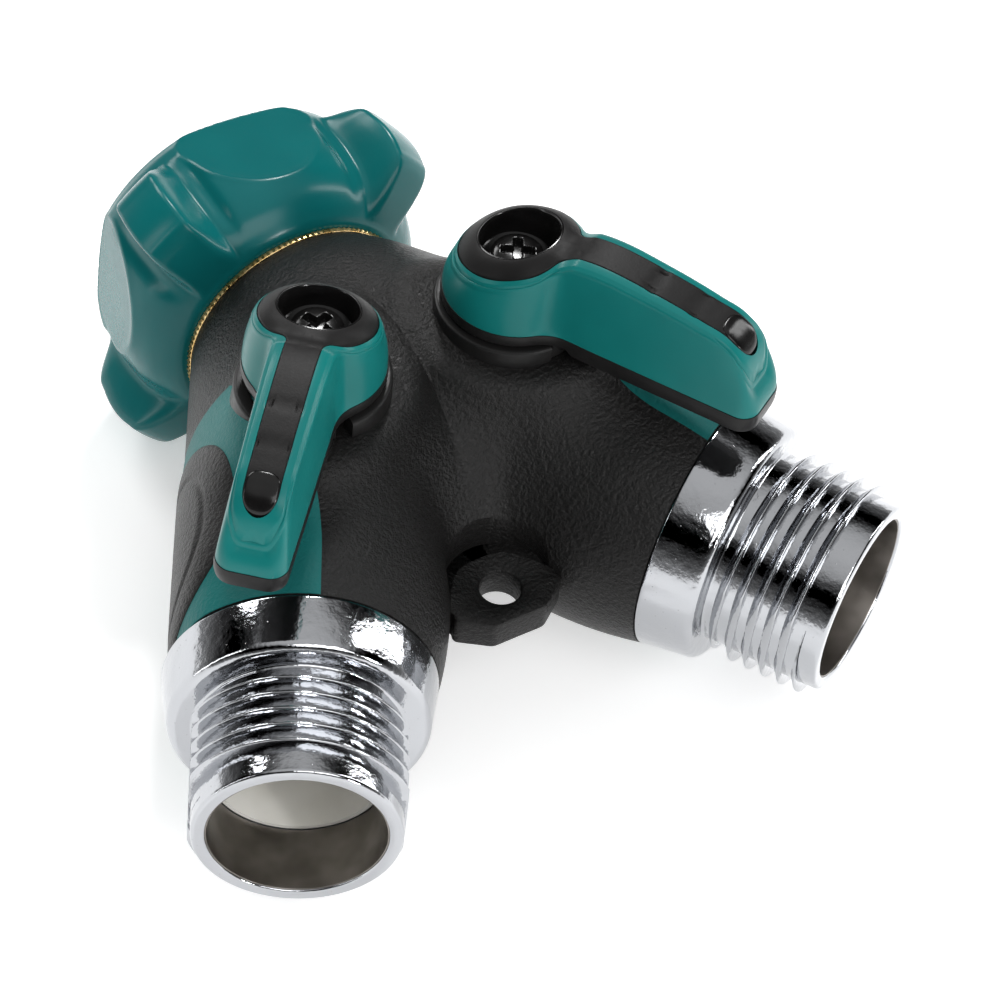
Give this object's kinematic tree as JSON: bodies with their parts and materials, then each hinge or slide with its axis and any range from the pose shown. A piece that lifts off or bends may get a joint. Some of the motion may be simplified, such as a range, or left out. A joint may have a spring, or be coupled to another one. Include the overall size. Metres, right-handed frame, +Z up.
{
  "type": "hose splitter",
  "caption": "Two-way garden hose splitter with a swivelling winged inlet nut, two threaded outlets and a quarter-turn lever valve in each arm.",
  "frame": {"origin": "centre of the inner end of the inlet nut's thread, on the inlet's line", "axes": "+Y out of the inlet, +Z up through the levers, +X towards the right arm when the outlets face the viewer"},
  "size_m": [0.0978, 0.0961, 0.0578],
  "materials": {
    "chromed_casting": "bright",
    "black_rubber": "fine grain",
    "teal_band": "fine grain",
    "teal_plastic": "satin",
    "black_plastic": "satin",
    "black_gloss": "gloss",
    "black_screw": "gloss",
    "brass": "machined",
    "white_plastic": "smooth",
    "plated_ball": "polished",
    "spring_steel": "plain",
    "seal_rubber": "matt"
  },
  "bodies": {
    "valve": {"valve_body": "chromed_casting", "body_cover": "black_rubber", "band_left": "teal_band", "band_right": "teal_band", "grip_pad_left": "black_rubber", "grip_pad_right": "black_rubber", "stop_collar_left": "black_plastic", "stop_collar_right": "black_plastic", "stem_gland_left": "brass", "stem_gland_right": "brass", "inner_seat_left": "white_plastic", "inner_seat_right": "white_plastic", "outer_seat_left": "white_plastic", "outer_seat_right": "white_plastic", "seat_retainer_left": "white_plastic", "seat_retainer_right": "white_plastic", "snap_ring": "spring_steel"},
    "nut": {"nut_insert": "brass", "nut_cover": "teal_plastic", "inlet_washer": "seal_rubber"},
    "lever_left": {"ball_left": "plated_ball", "stem_left": "brass", "stem_seals_left": "seal_rubber", "lever_base_left": "black_gloss", "lever_shell_left": "teal_plastic", "lever_inlay_left": "black_plastic", "lever_screw_left": "black_screw"},
    "lever_right": {"ball_right": "plated_ball", "stem_right": "brass", "stem_seals_right": "seal_rubber", "lever_base_right": "black_gloss", "lever_shell_right": "teal_plastic", "lever_inlay_right": "black_plastic", "lever_screw_right": "black_screw"}
  },
  "joints": [
    {"name": "nut_swivel", "type": "hinge", "parent": "valve", "child": "nut", "pos_m": [0, 0, 0], "axis": [0, 1, 0], "continuous": true},
    {"name": "lever_left", "type": "hinge", "parent": "valve", "child": "lever_left", "pos_m": [-0.0135, -0.03538, 0], "axis": [0, 0, -1], "range_deg": [-12, 78]},
    {"name": "lever_right", "type": "hinge", "parent": "valve", "child": "lever_right", "pos_m": [0.0135, -0.03538, 0], "axis": [0, 0, 1], "range_deg": [0, 90]}
  ]
}
